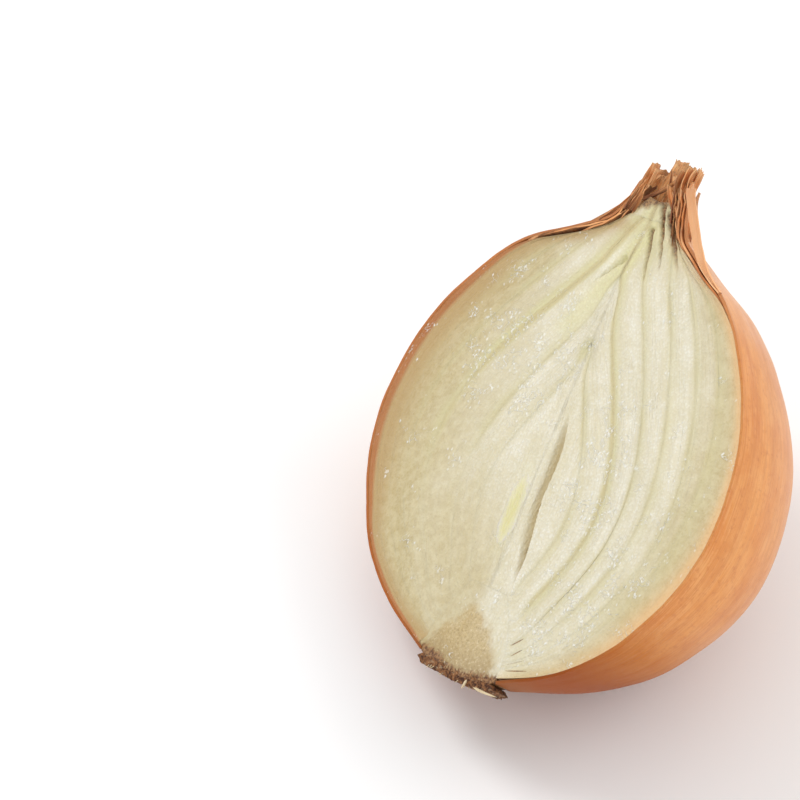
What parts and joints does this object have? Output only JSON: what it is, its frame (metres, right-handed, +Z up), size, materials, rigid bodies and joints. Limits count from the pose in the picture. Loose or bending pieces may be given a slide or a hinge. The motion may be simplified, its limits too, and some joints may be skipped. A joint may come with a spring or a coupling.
{
  "type": "halved onion",
  "caption": "Onion half cut from neck to root, lying on its back with nested fleshy scales, dry papery skin, torn neck and root bristles.",
  "frame": {"origin": "middle of the small flat spot of the skin that it lies on", "axes": "+Z up; the growth axis lies in the Y-Z plane, with the neck towards +Y and 31.9 degrees up, and the cut face looks up and towards -X and -Y"},
  "size_m": [0.0768, 0.0852, 0.0663],
  "materials": {
    "dry_skin": "satin, papery, veined lengthwise",
    "dry_leaf": "matt, dry and torn",
    "flesh": "moist, slightly translucent",
    "young_shoot": "moist",
    "plate": "dull, granular",
    "root": "dry, fibrous"
  },
  "bodies": {
    "root": {"dry_skin": "dry_skin", "dry_underskin": "dry_leaf", "dry_neck": "dry_leaf", "scale_1": "flesh", "scale_2": "flesh", "scale_3": "flesh", "scale_4": "flesh", "scale_5": "flesh", "scale_6": "flesh", "heart": "flesh", "shoot": "young_shoot", "basal_plate": "plate", "roots": "root"}
  },
  "joints": []
}
